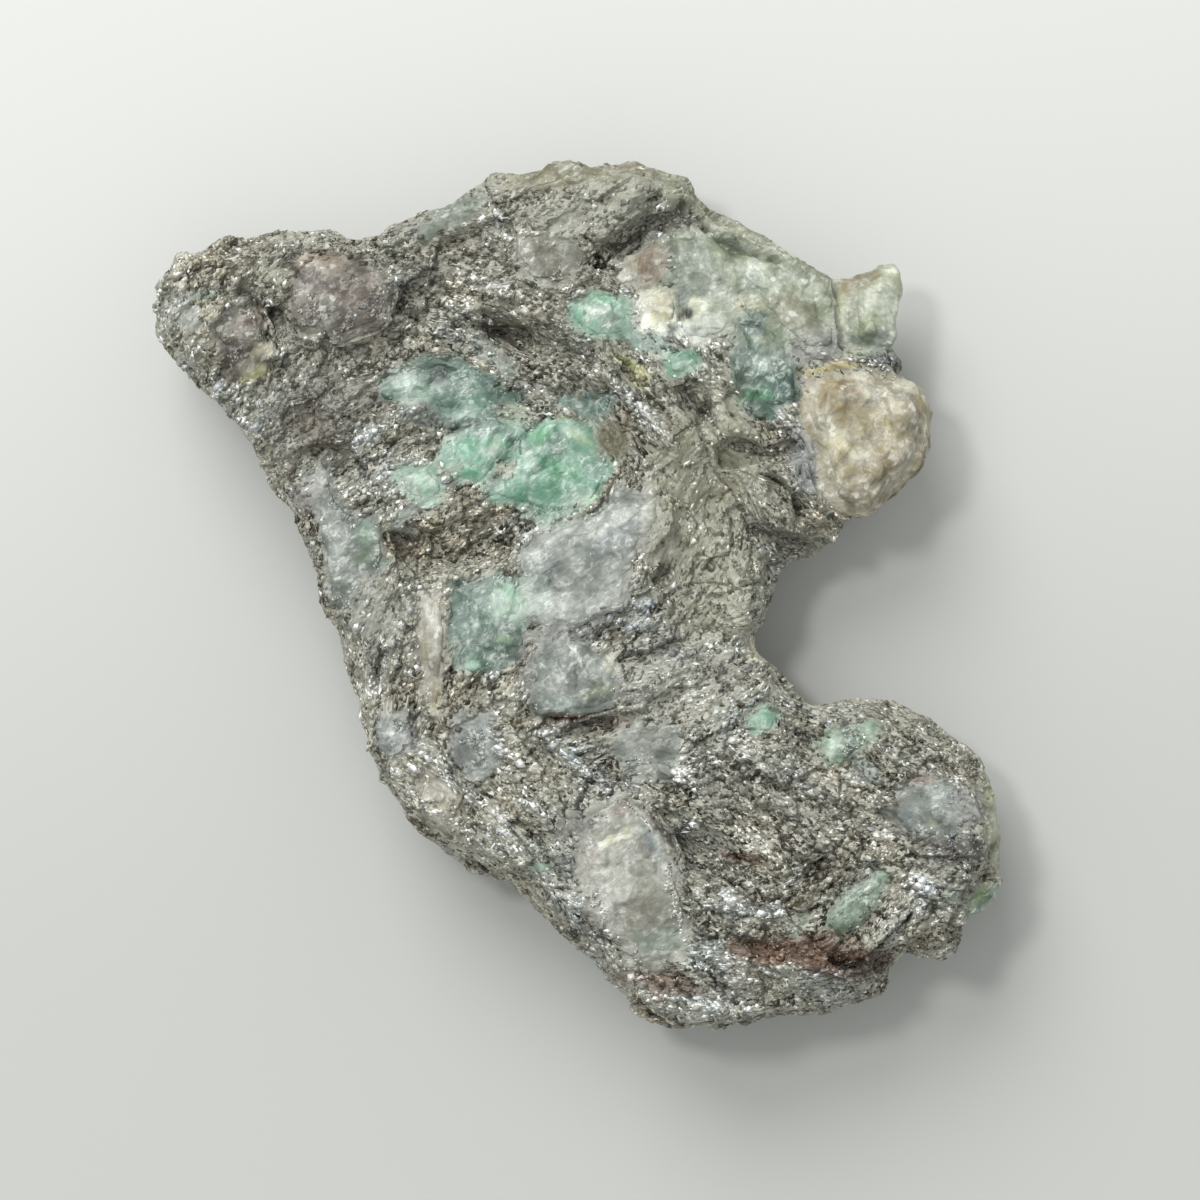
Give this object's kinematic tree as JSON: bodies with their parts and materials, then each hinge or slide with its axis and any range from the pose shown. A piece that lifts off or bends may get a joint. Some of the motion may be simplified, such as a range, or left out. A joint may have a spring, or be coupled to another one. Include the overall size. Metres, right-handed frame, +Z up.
{
  "type": "emerald in matrix",
  "caption": "Broken slab of dark mica schist with a bay in one side, set with green emeralds, grey-blue beryl and quartz.",
  "frame": {"origin": "middle of the bounding box of the stone, on the surface it lies on", "axes": "+Z up out of the show face, through the thickness of the slab; +X towards the bay and the smoky quartz nodule; +Y towards the long foliated edge"},
  "size_m": [0.0686, 0.0705, 0.0147],
  "materials": {
    "schist": "rough dark grey and olive rock full of small glinting mica flakes",
    "emerald": "cloudy green crystal with a glassy broken surface",
    "beryl": "cloudy grey-blue crystal with a glassy broken surface",
    "quartz": "cloudy cream to smoky quartz and feldspar"
  },
  "bodies": {
    "root": {"schist_matrix": "schist", "emerald_right": "emerald", "emerald_left": "emerald", "emerald_teal_band": "emerald", "emerald_sliver": "emerald", "emerald_mint": "emerald", "emerald_chip": "emerald", "emerald_deep": "emerald", "emerald_lobe_splinter": "emerald", "emerald_lobe_streak": "emerald", "emerald_bay_chip": "emerald", "emerald_rim_chip": "emerald", "beryl_mint_grain": "beryl", "beryl_striated": "beryl", "beryl_teal_block": "beryl", "beryl_grey_block": "beryl", "beryl_prism": "beryl", "beryl_side_patch": "beryl", "beryl_blue_patch": "beryl", "beryl_small_patch": "beryl", "beryl_middle_patch": "beryl", "beryl_lobe_patch": "beryl", "beryl_tip_patch": "beryl", "beryl_rosy": "beryl", "beryl_grey_green": "beryl", "beryl_pale_right": "beryl", "beryl_tip": "beryl", "feldspar_pink": "quartz", "feldspar_vein": "quartz", "quartz_cream": "quartz", "quartz_white": "quartz", "quartz_lump": "quartz", "quartz_corner_chip": "quartz", "quartz_nodule": "quartz"}
  },
  "joints": []
}
